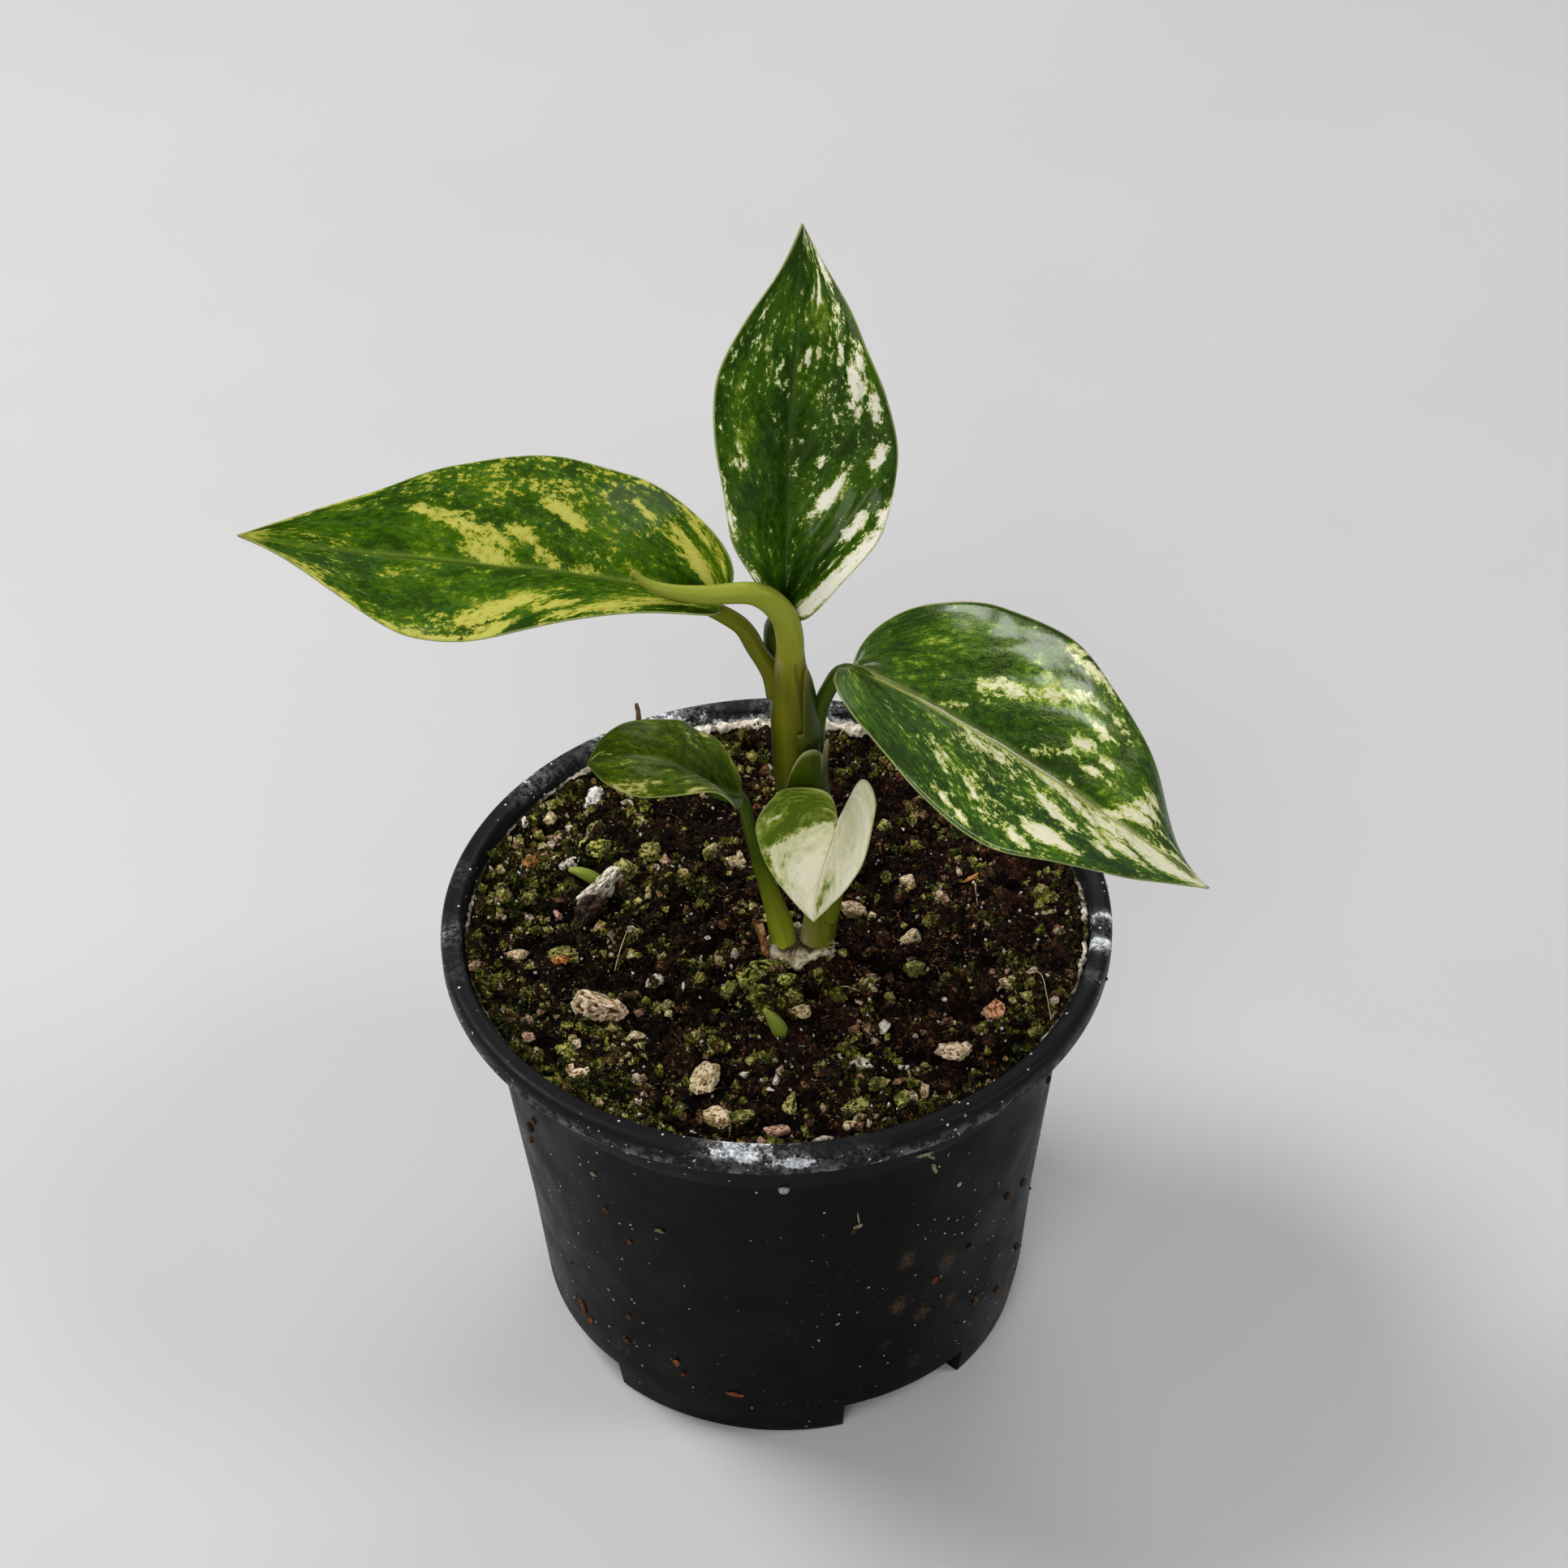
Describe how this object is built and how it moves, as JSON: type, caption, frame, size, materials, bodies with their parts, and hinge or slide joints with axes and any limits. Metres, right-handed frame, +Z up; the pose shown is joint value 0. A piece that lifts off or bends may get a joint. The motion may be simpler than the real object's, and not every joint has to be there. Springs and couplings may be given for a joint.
{
  "type": "potted khan mak chaw wang aglaonema",
  "caption": "Young variegated house plant with broad pointed green, yellow and cream leaves on a short stem, growing in a soil-filled round black nursery pot that rests on its flat base.",
  "frame": {"origin": "centre of the pot's flat underside, where it rests", "axes": "+Z up along the pot's axis, -Y towards the viewer of the picture, +X to that viewer's right, where the drooping leaf points"},
  "size_m": [0.1635, 0.12, 0.225],
  "materials": {
    "pot_plastic": "black moulded plastic, satin, with lime deposits and specks of soil",
    "label_film": "blank pale paper or film",
    "soil": "dark moist peat mix with moss, perlite, pumice and grit",
    "stem": "olive green wrapped leaf bases over a pale dry ring",
    "spear": "pale green rolled leaf with a brown tip",
    "leaf_yellow": "mid green with yellow patches",
    "leaf_cream_streaked": "glossy green with cream streaks towards the tip",
    "leaf_dark": "dark green with cream spots and a cream lower margin",
    "leaf_small": "dark green with faint yellow mottling",
    "leaf_pale": "cream and pale green with one green lobe",
    "sheath": "green, slightly translucent",
    "dry_scale": "dry brown papery scale",
    "sprout": "pale green young shoot",
    "twig": "brown dead twig"
  },
  "bodies": {
    "root": {"pot": "pot_plastic", "label": "label_film", "soil": "soil", "stem": "stem", "leaf_spear": "spear", "leaf_left": "leaf_yellow", "leaf_right": "leaf_cream_streaked", "leaf_back": "leaf_dark", "leaf_small": "leaf_small", "leaf_cream": "leaf_pale", "sheath_short": "sheath", "bract_dry": "dry_scale", "sprout_front": "sprout", "sprout_left": "sprout", "twig": "twig"}
  },
  "joints": []
}
